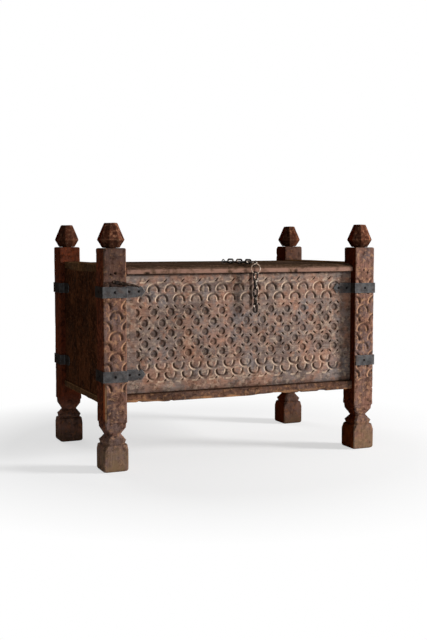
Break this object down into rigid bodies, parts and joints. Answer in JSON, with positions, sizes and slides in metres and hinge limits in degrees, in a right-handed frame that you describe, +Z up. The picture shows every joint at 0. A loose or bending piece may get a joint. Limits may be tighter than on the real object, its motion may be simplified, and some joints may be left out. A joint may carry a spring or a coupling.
{
  "type": "dowry chest",
  "caption": "Carved wooden dowry chest raised on through posts with faceted finials and cut legs, with a pintle-hung lid, iron corner straps, a lid chain and a wooden toggle.",
  "frame": {"origin": "on the floor, under the middle of the chest's rectangle of four posts", "axes": "+X along the front to the viewer's right, +Y from the carved front to the back, +Z up"},
  "size_m": [1.1108, 0.7022, 0.879],
  "materials": {
    "carved_wood": "dry, dark, chip carved wood with worn arrises",
    "post_wood": "dry, dark wood with worn arrises",
    "finial_wood": "red-brown polished by touch",
    "end_wood": "very dark, smoky wood",
    "lid_wood": "dark, oily, worn wood",
    "rail_wood": "worn brown wood",
    "inner_wood": "plain, unfinished wood",
    "toggle_wood": "whittled dark wood",
    "strap_iron": "forged flat iron, dull blue-grey",
    "nail_iron": "forged nail heads",
    "chain_iron": "forged wire, rubbed bright in places"
  },
  "bodies": {
    "chest": {"back_board_lower": "inner_wood", "back_board_upper": "inner_wood", "back_bottom_rail": "rail_wood", "back_top_rail": "rail_wood", "end_board_left_1": "end_wood", "end_board_left_2": "end_wood", "end_board_left_3": "end_wood", "end_board_right_1": "end_wood", "end_board_right_2": "end_wood", "end_board_right_3": "end_wood", "end_bottom_rail_left": "end_wood", "end_bottom_rail_right": "end_wood", "end_top_rail_left": "end_wood", "end_top_rail_right": "end_wood", "finial_back_left": "finial_wood", "finial_back_right": "finial_wood", "finial_front_left": "finial_wood", "finial_front_right": "finial_wood", "floor_board_1": "inner_wood", "floor_board_2": "inner_wood", "floor_board_3": "inner_wood", "floor_board_4": "inner_wood", "front_bottom_rail": "rail_wood", "front_panel": "carved_wood", "post_back_left": "post_wood", "post_back_right": "post_wood", "post_front_left": "carved_wood", "post_front_right": "carved_wood", "strap_back_left_lower": "strap_iron", "strap_back_left_upper": "strap_iron", "strap_back_right_lower": "strap_iron", "strap_back_right_upper": "strap_iron", "strap_front_left_lower": "strap_iron", "strap_front_left_upper": "strap_iron", "strap_front_right_lower": "strap_iron", "strap_front_right_upper": "strap_iron", "strap_nails": "nail_iron", "toggle_nail": "nail_iron"},
    "lid": {"lid_board_front": "lid_wood", "lid_board_middle": "lid_wood", "lid_stile_back": "lid_wood", "lid_batten_left": "inner_wood", "lid_batten_right": "inner_wood", "lid_batten_pegs": "inner_wood", "lid_eye": "chain_iron", "lid_staple": "chain_iron", "chain_on_lid": "chain_iron"},
    "ring": {"chain_ring": "chain_iron"},
    "chain": {"chain_hanging": "chain_iron"},
    "toggle": {"toggle": "toggle_wood"}
  },
  "joints": [
    {"name": "lid_hinge", "type": "hinge", "parent": "chest", "child": "lid", "pos_m": [0, 0.295, 0.7125], "axis": [-1, 0, 0], "range_deg": [0, 105]},
    {"name": "ring_swing", "type": "hinge", "parent": "lid", "child": "ring", "pos_m": [0.037, -0.336, 0.7305], "axis": [-1, 0, 0], "range_deg": [0, 170]},
    {"name": "chain_swing", "type": "hinge", "parent": "ring", "child": "chain", "pos_m": [0.037, -0.336, 0.6945], "axis": [-1, 0, 0], "range_deg": [0, 80]},
    {"name": "toggle_turn", "type": "hinge", "parent": "chest", "child": "toggle", "pos_m": [-0.506, -0.35, 0.671], "axis": [0, -1, 0], "range_deg": [-40, 90]}
  ]
}
